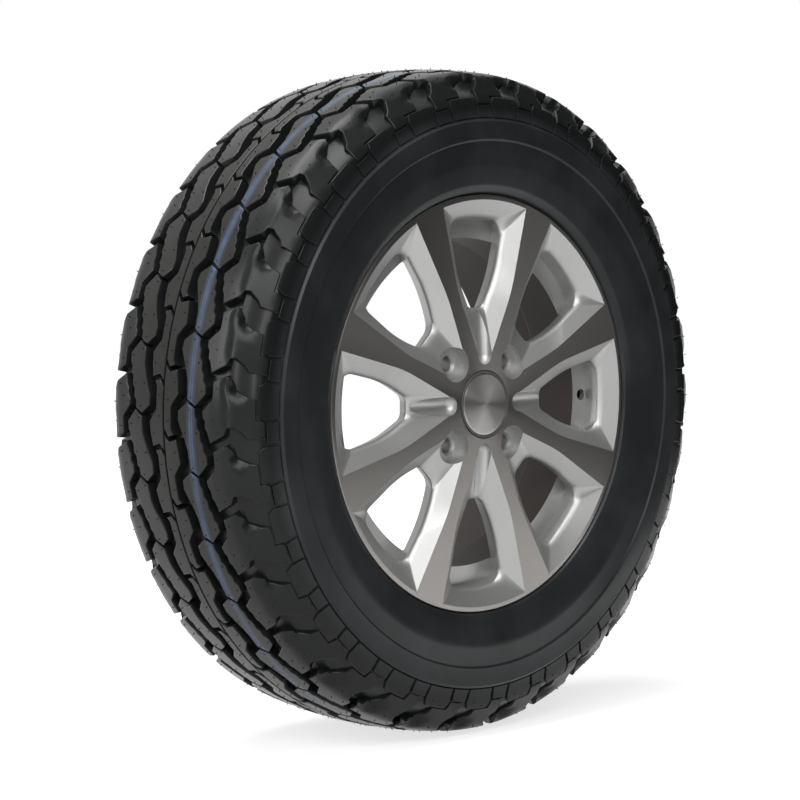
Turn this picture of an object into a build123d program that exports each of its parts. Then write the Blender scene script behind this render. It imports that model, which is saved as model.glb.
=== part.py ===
"""Wheel and tyre assembly: a 15 x 6.5 J cast alloy wheel with an all-terrain tyre and a snap-in centre cap.

Millimetres.  The axle line is the Y axis, the street side faces -Y and +Z is up.  The origin lies on the
axle line in the middle of the rim's width.  Each piece is exported as one STEP file in this shared frame.
"""
import os
from math import cos, pi, radians, sin, tan

from build123d import *

# Rim: 15 inch diameter, 6.5 inch between the flanges
RIM_WIDTH = 165.1
SEAT_RADIUS = 190.1
SEAT_TAPER = 5.0
FLANGE_RADIUS = 207.4
FLANGE_THICKNESS = 11.0
FLANGE_FOOT_RADIUS = 198.1
FLANGE_LIP = 3.7
LIP_CHAMFER = 1.6
WALL = 6.0
WELL_RADIUS = 171.0
WELL_WIDTH = 44.0
LEG_START = 4.0

# Spoked disc
SPOKES = 8
SPOKE_BACK = 62.0
SPOKE_CORE = 4.0
HUB_OFFSET = 52.0
HUB_PAD_RADIUS = 78.0

# Pockets between the spokes: their outline on the turned face and at the window's front edge
POCKET_DEPTH = 13.0
POCKET_OUTER_RADIUS = 202.6
POCKET_HALF_ANGLE = 17.0
POCKET_MID_RADIUS = 118.0
POCKET_MID_ANGLE = 18.9
WINDOW_OUTER_RADIUS = 184.0
WINDOW_HALF_ANGLE = 11.4
WINDOW_SHARE = 0.55
WINDOW_BACK_ANGLE = 14.5
WINDOW_BACK_SHARE = 0.6
TROUGH_TIP = 39.5
TROUGH_RADIUS = 9.3
TROUGH_END = 115.0
TROUGH_SINK = 0.3
TROUGH_FALL = 4.2
LUG_POCKET_END = 45.0
LUG_POCKET_HALF_WIDTH = 11.5

# Hub: bolt circle, lug seats, bores
LUGS = 4
BOLT_CIRCLE = 114.3
LUG_HOLE = 15.0
LUG_RECESS = 34.5
LUG_SEAT_DEPTH = 12.0
LUG_SEAT_WIDE = 19.0
LUG_SEAT_ANGLE = 60.0
HUB_BORE = 67.1
HUB_BORE_DEPTH = 11.0
HOOK_BORE = 64.0
HOOK_SPACE = 5.0
CAP_BORE = 58.0
CAP_SEAT = 68.4
CAP_SEAT_DEPTH = 7.0

# Valve hole, in the well's outboard wall
VALVE_HOLE = 11.5
VALVE_HOLE_RADIUS = 177.5
VALVE_ANGLE = 90

# Tyre: 205/70 R15
TYRE_RADIUS = 334.0
TYRE_HALF_WIDTH = 107.0
PANEL_INNER_RADIUS = 246.0
PANEL_OUTER_RADIUS = 281.0
CROWN_DROP = 6.0
CROWN_HALF_WIDTH = 34.0
TREAD_HALF_WIDTH = 80.0
SHOULDER_RADIUS = 301.0
SHOULDER_HALF_WIDTH = 100.0
BEAD_COVER_RADIUS = 213.0
BEAD_COVER_HALF_WIDTH = 97.5
BEAD_WIDTH = 17.0
BEAD_GAP = 0.1
CASING = 14.0
TREAD_RUBBER = 17.0

# Tread pattern, repeated round the tyre
PITCHES = 32
GROOVE_WIDTH = 8.6
GROOVE_DEPTH = 9.0
INNER_GROOVE_HIGH = 16.0
INNER_GROOVE_LOW = 28.0
OUTER_GROOVE_HIGH = 48.0
OUTER_GROOVE_LOW = 61.0
PITCH_LAP = 0.02
PITCH_MIDDLE = 0.5
INNER_GROOVE_FLAT = 0.16
OUTER_GROOVE_FLAT = 0.09
OUTER_GROOVE_PEAK = 0.29
INNER_GROOVE_START = 0.29
OUTER_GROOVE_START = 0.84
SLOT_START = 0.66
SLOT_FINISH = 0.5
SLOT_NARROW = 6.0
SLOT_WIDE = 16.0
SLOT_END = 104.0
SLOT_DEPTH = 14.0
FAR_SIDE_PHASE = 1.24
TREAD_TURN = 8.55

# Centre cap
CAP_GAP = 0.7
CAP_PROUD = 1.0
CAP_WALL = 2.5
CAP_LEGS = 4
CAP_LEG_GAP = 0.4
CAP_LEG_WIDTH = 12.0
CAP_LEG_THICKNESS = 2.2
CAP_HOOK = 1.6
CAP_HOOK_HEIGHT = 3.5
DISC_THICKNESS = 1.6
DISC_RECESS = 1.2
BOND_GAP = 0.1

HALF_WIDTH = RIM_WIDTH / 2
FACE = HALF_WIDTH + FLANGE_THICKNESS
FLARE = FACE - FLANGE_LIP
AXLE = Axis((0, 0, 0), (0, 1, 0))


def ring(points):
    """Revolve a closed outline of (radius, place along the axle) about the axle."""
    return revolve(make_face(Polyline(*[(r, y) for r, y in points], close=True)), Axis.Y)


def turned(shape, degrees):
    """Turn a shape about the axle, clockwise when it is seen from the street side."""
    return shape.rotate(AXLE, degrees)


def polar(radius, degrees):
    """A point of a plane square to the axle: radius, and angle from the plane's own x direction."""
    return (radius * cos(radians(degrees)), radius * sin(radians(degrees)))


def axle_plane(y):
    """The plane square to the axle at y: its x runs up, its y to +X and its normal inboard."""
    return Plane(origin=(0, y, 0), x_dir=(0, 0, 1), z_dir=(0, 1, 0))


def rim():
    """The rim: flanges, bead seats, drop-centre well and barrel, as one turned ring."""
    inner = SEAT_RADIUS - WALL
    well_start = WALL - SPOKE_BACK
    well_end = well_start + WELL_WIDTH
    leg = SEAT_RADIUS - (HALF_WIDTH + well_start) * tan(radians(SEAT_TAPER))
    return ring([
        (inner, -FACE),
        (FLANGE_RADIUS - LIP_CHAMFER, -FACE),
        (FLANGE_RADIUS, LIP_CHAMFER - FACE),
        (FLANGE_RADIUS, -FLARE),
        (FLANGE_FOOT_RADIUS, -HALF_WIDTH),
        (SEAT_RADIUS, -HALF_WIDTH),
        (leg, well_start),
        (WELL_RADIUS, well_start),
        (WELL_RADIUS, well_end),
        (leg, LEG_START),
        (leg, -well_start),
        (SEAT_RADIUS, HALF_WIDTH),
        (FLANGE_FOOT_RADIUS, HALF_WIDTH),
        (FLANGE_RADIUS, FLARE),
        (FLANGE_RADIUS, FACE),
        (FLANGE_RADIUS - FLANGE_THICKNESS, FACE),
        (leg - WALL, HALF_WIDTH),
        (leg - WALL, LEG_START),
        (WELL_RADIUS - WALL, well_end),
        (WELL_RADIUS - WALL, -SPOKE_BACK),
        (inner, -SPOKE_BACK),
    ])


def disc():
    """The disc that the spokes are cut from: flat face and back, hub pad, and a foot on the well's wall."""
    root = SEAT_RADIUS - WALL / 2
    step = WELL_RADIUS - WALL
    return ring([
        (CAP_BORE / 2, -FACE),
        (root, -FACE),
        (root, -SPOKE_BACK),
        (step, -SPOKE_BACK),
        (step, -SPOKE_BACK - SPOKE_CORE),
        (HUB_PAD_RADIUS, -SPOKE_BACK - SPOKE_CORE),
        (HUB_PAD_RADIUS, -HUB_OFFSET),
        (CAP_BORE / 2, -HUB_OFFSET),
    ])


def mirrored(points):
    """A half outline and its mirror image, as one closed run of (x, y) points."""
    return points + [(x, -y) for x, y in reversed(points)]


def frustum(base, base_y, top, top_y):
    """A solid with flat walls between two outlines of equal count, in the planes at base_y and top_y."""
    low = [axle_plane(base_y).from_local_coords(Vector(*point)) for point in base]
    high = [axle_plane(top_y).from_local_coords(Vector(*point)) for point in top]
    faces = [Face(Wire.make_polygon(low)), Face(Wire.make_polygon(high))]
    for k in range(len(low)):
        faces.append(Face(Wire.make_polygon([low[k - 1], low[k], high[k], high[k - 1]])))
    return Part() + Solid(Shell(faces))


def pocket(end):
    """The cutter for one pocket: sloping walls from the face down to the window, then the window itself.

    end is the half outline of the pocket's inner end on the face.  The window's front and back outlines are
    the mouth's drawn in towards their corners, so each wall between them is flat, and the window opens
    towards the back.  A turned bowl gives the ledge under the rim.
    """
    floor = POCKET_DEPTH - FACE
    corner = Vector(*polar(POCKET_OUTER_RADIUS, POCKET_HALF_ANGLE))
    mid = Vector(*polar(POCKET_MID_RADIUS, POCKET_MID_ANGLE))
    run = corner + (corner - mid) / 2
    half = [(run.X, run.Y), (mid.X, mid.Y)] + end

    def drawn_in(degrees, share):
        """The mouth's outline drawn in towards a corner at an angle on the window's outer edge."""
        target = Vector(*polar(WINDOW_OUTER_RADIUS, degrees))
        return mirrored([
            (target.X + (x - corner.X) * share, target.Y + (y - corner.Y) * share) for x, y in half
        ])

    mouth = mirrored(half)
    window = drawn_in(WINDOW_HALF_ANGLE, WINDOW_SHARE)
    back = drawn_in(WINDOW_BACK_ANGLE, WINDOW_BACK_SHARE)
    cutter = frustum(mouth, -FACE, window, floor) + frustum(window, floor, back, -SPOKE_BACK)
    bowl = ring([(0, -FACE), (POCKET_OUTER_RADIUS, -FACE), (WINDOW_OUTER_RADIUS, floor),
                 (WINDOW_OUTER_RADIUS, -SPOKE_BACK), (0, -SPOKE_BACK)])
    return cutter & bowl


def axle_hole(radius, start, end, place=0.0, degrees=0.0):
    """A round cutter along the axle between two places, off the axle by place in the direction degrees."""
    middle = (start + end) / 2
    hole = Cylinder(radius, end - start, rotation=(90, 0, 0))
    return turned(Pos(0, middle, place) * hole, degrees)


def trough():
    """The cutter for the ball-nosed trough that runs out from the hub into the top pocket's window."""
    start = Vector(0, TROUGH_SINK - FACE, TROUGH_TIP + TROUGH_RADIUS)
    run = Vector(0, TROUGH_FALL, TROUGH_END - start.Z)
    bar = Cylinder(TROUGH_RADIUS, run.length, align=(Align.CENTER, Align.CENTER, Align.MIN))
    return Plane(origin=start, z_dir=run) * (bar + Sphere(TROUGH_RADIUS))


def lug_seat(degrees):
    """The cutter for one lug: socket recess, conical seat and stud hole."""
    place = BOLT_CIRCLE / 2
    seat = LUG_SEAT_DEPTH - FACE
    cone_length = (LUG_SEAT_WIDE - LUG_HOLE) / 2 / tan(radians(LUG_SEAT_ANGLE / 2))
    cone = Cone(LUG_SEAT_WIDE / 2, LUG_HOLE / 2, cone_length, rotation=(-90, 0, 0))
    recess = axle_hole(LUG_RECESS / 2, -FACE, seat, place, degrees)
    hole = axle_hole(LUG_HOLE / 2, seat, -HUB_OFFSET, place, degrees)
    return recess + turned(Pos(0, seat + cone_length / 2, place) * cone, degrees) + hole


def alloy_wheel():
    """The casting: rim and spoked disc in one, with its pockets, seats, bores and valve hole."""
    step = 360 / SPOKES
    plain_pocket = pocket([(TROUGH_TIP + TROUGH_RADIUS, TROUGH_RADIUS)])
    lug_pocket = pocket([(LUG_POCKET_END, LUG_POCKET_HALF_WIDTH)])
    cutters = [turned(plain_pocket if k % 2 == 0 else lug_pocket, k * step) for k in range(SPOKES)]
    cutters += [turned(trough(), k * step) for k in range(0, SPOKES, 2)]
    cutters += [lug_seat((k + 0.5) * 360 / LUGS) for k in range(LUGS)]
    cutters.append(axle_hole(CAP_SEAT / 2, -FACE, CAP_SEAT_DEPTH - FACE))
    cutters.append(axle_hole(HUB_BORE / 2, -HUB_OFFSET - HUB_BORE_DEPTH, -HUB_OFFSET))
    cutters.append(axle_hole(HOOK_BORE / 2, -HUB_OFFSET - HUB_BORE_DEPTH - HOOK_SPACE, -HUB_OFFSET))
    valve_end = 2 * WALL - SPOKE_BACK
    cutters.append(axle_hole(VALVE_HOLE / 2, -SPOKE_BACK - WALL, valve_end, VALVE_HOLE_RADIUS, VALVE_ANGLE))
    return rim() + disc() - cutters


def casing():
    """The tyre before its tread is cut: beads, sidewalls, shoulders and a crowned band, hollow inside."""
    heel = SEAT_RADIUS + BEAD_GAP
    foot = HALF_WIDTH - BEAD_GAP
    toe = (heel - BEAD_WIDTH * tan(radians(SEAT_TAPER)), foot - BEAD_WIDTH)
    inside = TYRE_HALF_WIDTH - CASING
    roof = TYRE_RADIUS - TREAD_RUBBER
    half = [
        toe,
        (heel, foot),
        (FLANGE_FOOT_RADIUS, foot),
        (FLANGE_RADIUS + BEAD_GAP, FLARE - BEAD_GAP),
        (BEAD_COVER_RADIUS, BEAD_COVER_HALF_WIDTH),
        (PANEL_INNER_RADIUS, TYRE_HALF_WIDTH),
        (PANEL_OUTER_RADIUS, TYRE_HALF_WIDTH),
        (SHOULDER_RADIUS, SHOULDER_HALF_WIDTH),
        (TYRE_RADIUS - CROWN_DROP, TREAD_HALF_WIDTH),
        (TYRE_RADIUS, CROWN_HALF_WIDTH),
    ]
    lining = [
        (roof, TREAD_HALF_WIDTH - CASING),
        (SHOULDER_RADIUS, inside),
        (BEAD_COVER_RADIUS + CASING, inside),
    ]
    near = [(r, -y) for r, y in half]
    near_lining = [(r, -y) for r, y in lining]
    return ring(near + half[::-1] + lining[::-1] + near_lining)


def tread_sketch(points):
    """A face on the groove floors' tangent plane at the top of the tyre.

    points are (pitch, place on the axle).  A pitch runs from 0 to 1 towards -X, with its middle at the top.
    """
    floor = TYRE_RADIUS - GROOVE_DEPTH
    plane = Plane(origin=(0, 0, floor), x_dir=(-1, 0, 0), z_dir=(0, 0, 1))
    corners = [(floor * tan(2 * pi / PITCHES * (t - PITCH_MIDDLE)), -y) for t, y in points]
    return plane * make_face(Polyline(*corners, close=True))


def groove_cutter(path):
    """The cutter for one pitch of a zigzag groove: a band along the path, a groove wide."""
    half = GROOVE_WIDTH / 2
    near = [(t, y - half) for t, y in path]
    far = [(t, y + half) for t, y in reversed(path)]
    return extrude(tread_sketch(near + far), 2 * GROOVE_DEPTH)


def slot_cutter():
    """The cutter for one shoulder slot: narrow where it leaves the outer groove, wide over the shoulder."""
    pitch = 2 * pi * TYRE_RADIUS / PITCHES
    narrow = SLOT_NARROW / 2 / pitch
    wide = SLOT_WIDE / 2 / pitch
    middle = [(SLOT_START, GROOVE_WIDTH / 4 - OUTER_GROOVE_LOW), (SLOT_FINISH, -SLOT_END)]
    spread = [narrow, wide]
    left = [(t - d, y) for (t, y), d in zip(middle, spread)]
    right = [(t + d, y) for (t, y), d in zip(middle, spread)]
    sunk = Pos(0, 0, GROOVE_DEPTH - SLOT_DEPTH) * tread_sketch(left + right[::-1])
    return extrude(sunk, 2 * SLOT_DEPTH)


def tyre():
    """The tyre: casing with four zigzag grooves and two rows of shoulder slots, repeated pitch by pitch.

    The far half of the tread is the near half turned about a radius, so the pattern has no left or right.
    """
    inner = [(-PITCH_LAP, -INNER_GROOVE_HIGH), (INNER_GROOVE_FLAT, -INNER_GROOVE_HIGH),
             (PITCH_MIDDLE, -INNER_GROOVE_LOW), (1 - INNER_GROOVE_FLAT, -INNER_GROOVE_HIGH),
             (1 + PITCH_LAP, -INNER_GROOVE_HIGH)]
    outer = [(-PITCH_LAP, -OUTER_GROOVE_LOW), (OUTER_GROOVE_FLAT, -OUTER_GROOVE_LOW),
             (OUTER_GROOVE_PEAK, -OUTER_GROOVE_HIGH), (1 - OUTER_GROOVE_FLAT, -OUTER_GROOVE_LOW),
             (1 + PITCH_LAP, -OUTER_GROOVE_LOW)]
    near_half = [(groove_cutter(inner), INNER_GROOVE_START), (groove_cutter(outer), OUTER_GROOVE_START),
                 (slot_cutter(), 0.0)]
    cutters = []
    for cutter, start in near_half:
        opposite = cutter.rotate(Axis.Z, 180)
        for k in range(PITCHES):
            place = (k + start + PITCH_MIDDLE) * 360 / PITCHES + TREAD_TURN
            mirror = (k + FAR_SIDE_PHASE - start - PITCH_MIDDLE) * 360 / PITCHES + TREAD_TURN
            cutters += [turned(cutter, -place), turned(opposite, -mirror)]
    return casing() - cutters


def centre_cap():
    """The cap's moulding: a shallow cup for the disc, with hooked legs that snap behind the cap's bore."""
    radius = CAP_SEAT / 2 - CAP_GAP
    seat = CAP_SEAT_DEPTH - FACE
    front = -FACE - CAP_PROUD
    floor = front + DISC_RECESS
    cup = ring([(0, floor), (radius - CAP_WALL, floor), (radius - CAP_WALL, front),
                (radius, front), (radius, seat), (0, seat)])
    leg_outer = CAP_BORE / 2 - CAP_LEG_GAP
    leg_inner = leg_outer - CAP_LEG_THICKNESS
    hook = CAP_LEG_GAP - HUB_OFFSET - HUB_BORE_DEPTH - HOOK_SPACE
    leg_end = hook + CAP_HOOK_HEIGHT
    leg_ring = ring([(leg_inner, seat), (leg_outer, seat), (leg_outer, hook), (leg_outer + CAP_HOOK, hook),
                     (leg_outer, leg_end), (leg_inner, leg_end)])
    blade = Pos(0, seat + HUB_BORE / 2, CAP_BORE / 2) * Box(CAP_LEG_WIDTH, HUB_BORE, CAP_BORE)
    leg = leg_ring & blade
    return cup + [turned(leg, k * 360 / CAP_LEGS) for k in range(CAP_LEGS)]


def cap_disc():
    """The spun metal disc in the cap's front."""
    edge = CAP_SEAT / 2 - CAP_GAP - CAP_WALL - BOND_GAP
    back = DISC_RECESS - FACE - CAP_PROUD
    front = back - DISC_THICKNESS
    return axle_hole(edge, front, back)


PIECES = {"alloy_wheel": alloy_wheel, "tyre": tyre, "centre_cap": centre_cap, "cap_disc": cap_disc}

if __name__ == "__main__":
    os.makedirs("parts", exist_ok=True)
    for name, build in PIECES.items():
        export_step(build(), f"parts/{name}.step")
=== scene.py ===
"""Looks of the wheel and tyre assembly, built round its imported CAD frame.

Lengths are millimetres until they go into a mesh, which is in metres.  The axle is the Y axis, the street
side faces -Y and +Z is up.  A place on the tread is (t, p): t counts pitches round the tyre, anticlockwise
seen from the street, and p is the distance across the tyre's outer surface from the middle of the tread,
negative on the street side.
"""
import logging
from dataclasses import dataclass, field
from enum import Enum, IntEnum, auto
from math import cos, pi, radians, sin

import bmesh
import bpy
import numpy as np
from mathutils import Matrix, Vector
from mathutils.geometry import delaunay_2d_cdt


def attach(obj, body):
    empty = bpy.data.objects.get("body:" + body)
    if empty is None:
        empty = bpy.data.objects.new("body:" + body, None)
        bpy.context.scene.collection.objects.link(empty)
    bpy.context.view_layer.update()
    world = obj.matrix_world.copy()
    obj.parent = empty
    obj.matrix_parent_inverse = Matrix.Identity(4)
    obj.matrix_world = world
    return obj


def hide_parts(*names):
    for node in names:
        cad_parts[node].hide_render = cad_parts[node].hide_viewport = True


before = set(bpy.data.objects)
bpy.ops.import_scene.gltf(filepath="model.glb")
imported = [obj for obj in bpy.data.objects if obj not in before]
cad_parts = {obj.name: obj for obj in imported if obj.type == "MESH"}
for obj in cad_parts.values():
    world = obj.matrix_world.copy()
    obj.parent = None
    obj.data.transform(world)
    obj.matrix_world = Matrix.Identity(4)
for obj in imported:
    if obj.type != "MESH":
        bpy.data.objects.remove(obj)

log = logging.getLogger("wheel")
MM = 0.001
BODY = "root"
TREAD_MAP = "tread"
AXLE = np.array([0.0, 1.0, 0.0])
WHITE = (1.0, 1.0, 1.0)

Colour = tuple[float, float, float]
Solid = tuple[np.ndarray, list]
Socket = bpy.types.NodeSocket


class Side(Enum):
    """The two halves of the tread, each the other turned half a turn about a radius."""

    NEAR = auto()
    FAR = auto()


# Mesh helpers


def polar(radius: float, degrees: float) -> np.ndarray:
    """A point of a plane from its radius and its angle off the x axis.

    Args:
        radius: distance from the origin.
        degrees: angle from the x axis towards y.

    Returns:
        The point as an array of two.
    """
    return radius * np.array([cos(radians(degrees)), sin(radians(degrees))])


def arms(degrees: float) -> tuple[np.ndarray, np.ndarray]:
    """Directions at a place round the axle.

    Args:
        degrees: the place, clockwise from the top seen from the street.

    Returns:
        The direction out from the axle, and the one square to it and to the axle.
    """
    across, up = sin(radians(degrees)), cos(radians(degrees))
    return np.array([across, 0, up]), np.array([up, 0, -across])


def corner_arcs(
    points: np.ndarray, before: np.ndarray, after: np.ndarray, radii: np.ndarray, steps: int
) -> np.ndarray:
    """Round corners of a run of points.

    Each arc touches both edges, so its centre lies on their bisector, at radius / sin(half angle) from the
    corner.  Its points blend the arms to its two ends, by the sines of the shares of the angle it sweeps.

    Args:
        points: corners, one per row.
        before: direction from each corner to the corner before it.
        after: direction from each corner to the corner after it.
        radii: radius at each corner.
        steps: points on each arc.

    Returns:
        The arcs' points, in order, one per row.
    """
    a = before / np.linalg.norm(before, axis=1, keepdims=True)
    b = after / np.linalg.norm(after, axis=1, keepdims=True)
    half = np.arccos(np.clip((a * b).sum(1), -1, 1)) / 2
    reach = radii / np.tan(half)
    middle = a + b
    middle /= np.linalg.norm(middle, axis=1, keepdims=True)
    centre = points + middle * (radii / np.sin(half))[:, None]
    start = points + a * reach[:, None] - centre
    end = points + b * reach[:, None] - centre
    sweep = (pi - 2 * half)[:, None, None]
    share = np.linspace(0, 1, steps)[None, :, None]
    first = np.sin((1 - share) * sweep) / np.sin(sweep)
    second = np.sin(share * sweep) / np.sin(sweep)
    arcs = centre[:, None] + first * start[:, None] + second * end[:, None]
    return arcs.reshape(-1, 2)


def rounded(corners: np.ndarray, steps: int) -> np.ndarray:
    """A closed outline with its corners rounded.

    Args:
        corners: (x, y, radius) of each corner in order.
        steps: points on each rounded corner.

    Returns:
        The outline's points, one per row.
    """
    points = corners[:, :2]
    before = np.roll(points, 1, 0) - points
    after = np.roll(points, -1, 0) - points
    return corner_arcs(points, before, after, corners[:, 2], steps)


def rounded_run(corners: np.ndarray, steps: int) -> np.ndarray:
    """An open run of points with every corner but its two ends rounded.

    Args:
        corners: (x, y, radius) of each corner in order.
        steps: points on each rounded corner.

    Returns:
        The run's points, one per row.
    """
    points = corners[:, :2]
    inner = points[1:-1]
    bends = corner_arcs(inner, points[:-2] - inner, points[2:] - inner, corners[1:-1, 2], steps)
    return np.vstack([points[:1], bends, points[-1:]])


def grid_faces(rows: int, columns: int, close_rows: bool = False, close_columns: bool = False) -> np.ndarray:
    """Quads of a grid whose vertices are numbered row by row.

    Args:
        rows: rows of vertices.
        columns: vertices in each row.
        close_rows: join the last row to the first.
        close_columns: join the last column to the first.

    Returns:
        Vertex numbers, four per row.
    """
    r = np.arange(rows if close_rows else rows - 1)[:, None]
    c = np.arange(columns if close_columns else columns - 1)[None, :]
    r2 = (r + 1) % rows
    c2 = (c + 1) % columns
    corners = [r * columns + c, r * columns + c2, r2 * columns + c2, r2 * columns + c]
    return np.stack(np.broadcast_arrays(*corners), -1).reshape(-1, 4)


def tube_faces(rings: int, columns: int) -> list:
    """Faces of a tube whose vertices are numbered ring by ring, with a flat cap on its first and last ring.

    Args:
        rings: rings of vertices.
        columns: vertices in each ring.

    Returns:
        Vertex numbers of each face.
    """
    wall = grid_faces(rings, columns, close_columns=True).tolist()
    cap = np.arange(columns)
    return wall + [cap.tolist(), (cap + (rings - 1) * columns).tolist()]


def turn(profile: np.ndarray, angles: np.ndarray) -> np.ndarray:
    """Place a run of (radius, y) points at several angles about the axle.

    A point's x is its radius times the angle's sine, and its z is its radius times the cosine.

    Args:
        profile: points, one per row.
        angles: angles in radians, clockwise from the top seen from the street.

    Returns:
        Vertices numbered angle by angle, one per row.
    """
    radius = profile[None, :, 0]
    x = radius * np.sin(angles[:, None])
    y = np.broadcast_to(profile[None, :, 1], x.shape)
    z = radius * np.cos(angles[:, None])
    return np.stack([x, y, z], -1).reshape(-1, 3)


def spin(profile: np.ndarray, segments: int) -> np.ndarray:
    """Turn a run of (radius, y) points all the way about the axle.

    Args:
        profile: points, one per row.
        segments: copies round the axle.

    Returns:
        Vertices numbered segment by segment, one per row.
    """
    return turn(profile, np.linspace(0, 2 * pi, segments, endpoint=False))


def spun_solid(profile: np.ndarray, segments: int) -> Solid:
    """A solid turned from an open run of (radius, y) points, with a flat cap at each end of the run.

    Args:
        profile: points, one per row.
        segments: copies round the axle.

    Returns:
        Vertices and faces.
    """
    faces = grid_faces(segments, len(profile), close_rows=True).tolist()
    first = np.arange(segments) * len(profile)
    faces += [first.tolist(), (first + len(profile) - 1).tolist()]
    return spin(profile, segments), faces


def joined(name: str, parts: list[Solid]) -> bpy.types.Object:
    """Make one object of several solids.

    Args:
        name: the object's name.
        parts: vertices and faces of each.

    Returns:
        The object.
    """
    starts = np.cumsum([0] + [len(vertices) for vertices, _ in parts])
    faces = [[start + k for k in face] for (_, part), start in zip(parts, starts) for face in part]
    return make_object(name, np.vstack([vertices for vertices, _ in parts]), faces)


def make_object(name: str, vertices: np.ndarray, faces: list, outward: bool = True) -> bpy.types.Object:
    """Make a mesh object at the origin.

    Args:
        name: name of the object and its mesh.
        vertices: places in millimetres, one per row.
        faces: vertex numbers of each face.
        outward: turn the faces of a closed shell outwards.

    Returns:
        The object, linked to the scene.
    """
    mesh = bpy.data.meshes.new(name)
    mesh.from_pydata((vertices * MM).tolist(), [], faces)
    if outward:
        work = bmesh.new()
        work.from_mesh(mesh)
        bmesh.ops.recalc_face_normals(work, faces=work.faces)
        work.to_mesh(mesh)
        work.free()
    mesh.update()
    thing = bpy.data.objects.new(name, mesh)
    bpy.context.scene.collection.objects.link(thing)
    return thing


def smooth(thing: bpy.types.Object, degrees: float) -> None:
    """Shade an object smooth, with sharp edges where faces meet at more than an angle.

    Args:
        thing: the object.
        degrees: the angle.
    """
    mesh = thing.data
    mesh.polygons.foreach_set("use_smooth", np.ones(len(mesh.polygons), bool))
    mesh.set_sharp_from_angle(angle=radians(degrees))


def face_data(mesh: bpy.types.Mesh) -> tuple[np.ndarray, np.ndarray]:
    """Centres, in millimetres, and normals of a mesh's faces.

    Args:
        mesh: the mesh.

    Returns:
        Two arrays with one row per face.
    """
    count = len(mesh.polygons)
    centres = np.empty(count * 3)
    normals = np.empty(count * 3)
    mesh.polygons.foreach_get("center", centres)
    mesh.polygons.foreach_get("normal", normals)
    return centres.reshape(-1, 3) / MM, normals.reshape(-1, 3)


# Finishes


class Shader:
    """A material's node tree, with short ways to add nodes."""

    MIX_LOW = 6
    MIX_HIGH = 7
    MIX_RESULT = 2

    def __init__(self, name: str) -> None:
        """Start a material with a Principled shader.

        Args:
            name: the material's name.
        """
        self.material = bpy.data.materials.new(name)
        self.material.use_nodes = True
        self.tree = self.material.node_tree
        self.surface = self.tree.nodes["Principled BSDF"]

    def add(self, kind: str, **settings: str | bool) -> bpy.types.Node:
        """Add a node.

        Args:
            kind: the node's type.
            settings: its properties.

        Returns:
            The node.
        """
        node = self.tree.nodes.new(kind)
        for key, value in settings.items():
            setattr(node, key, value)
        return node

    def link(self, source: Socket, target: Socket) -> None:
        """Join two sockets.

        Args:
            source: an output.
            target: an input.
        """
        self.tree.links.new(source, target)

    def feed(self, value: Socket | Colour | float, target: Socket) -> None:
        """Join an input to an output, or set it.

        Args:
            value: an output, a colour of three or a number.
            target: the input.
        """
        if isinstance(value, Socket):
            self.link(value, target)
        else:
            target.default_value = (*value, 1) if isinstance(value, tuple) else value

    def math(self, operation: str, first: Socket | float, second: Socket | float = 0.0) -> Socket:
        """Add a Math node.

        Args:
            operation: what it does.
            first: a socket or a number.
            second: a socket or a number.

        Returns:
            Its output.
        """
        node = self.add("ShaderNodeMath", operation=operation)
        self.feed(first, node.inputs[0])
        self.feed(second, node.inputs[1])
        return node.outputs[0]

    def mix(self, share: Socket, low: Socket | Colour, high: Socket | Colour) -> Socket:
        """Mix two colours.

        Args:
            share: a socket, 0 for the low colour and 1 for the high one.
            low: a colour of three, or a colour socket.
            high: a colour of three, or a colour socket.

        Returns:
            The mixed colour.
        """
        node = self.add("ShaderNodeMix", data_type="RGBA", clamp_factor=True)
        self.link(share, node.inputs["Factor"])
        self.feed(low, node.inputs[self.MIX_LOW])
        self.feed(high, node.inputs[self.MIX_HIGH])
        return node.outputs[self.MIX_RESULT]

    def place(self) -> Socket:
        """Object coordinates.

        Returns:
            The coordinates' socket.
        """
        return self.add("ShaderNodeTexCoord").outputs["Object"]

    def radius(self) -> Socket:
        """Distance from the axle, in metres: the root of the sum of x squared and z squared.

        Returns:
            The distance's socket.
        """
        split = self.add("ShaderNodeSeparateXYZ")
        self.link(self.place(), split.inputs[0])
        x, z = (self.math("POWER", split.outputs[axis], 2.0) for axis in ("X", "Z"))
        return self.math("SQRT", self.math("ADD", x, z))

    def noise(self, scale: float, detail: float = 3.0) -> Socket:
        """Noise on the object's coordinates.

        Args:
            scale: fineness.
            detail: octaves.

        Returns:
            The noise, about 0.5 on average.
        """
        node = self.add("ShaderNodeTexNoise")
        node.inputs["Scale"].default_value = scale
        node.inputs["Detail"].default_value = detail
        self.link(self.place(), node.inputs["Vector"])
        return node.outputs["Fac"]

    def bump(self, height: Socket, strength: float, distance: float) -> None:
        """Bump the surface.

        Args:
            height: the height's socket.
            strength: share of the bump.
            distance: height in metres.
        """
        node = self.add("ShaderNodeBump")
        node.inputs["Strength"].default_value = strength
        node.inputs["Distance"].default_value = distance
        self.link(height, node.inputs["Height"])
        self.link(node.outputs[0], self.surface.inputs["Normal"])

    def set(self, **values: Colour | float) -> None:
        """Set the Principled shader's inputs.

        Args:
            values: input names in lower case with underscores, and their values.
        """
        for key, value in values.items():
            self.feed(value, self.surface.inputs[key.replace("_", " ").title().replace("Ior", "IOR")])


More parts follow.
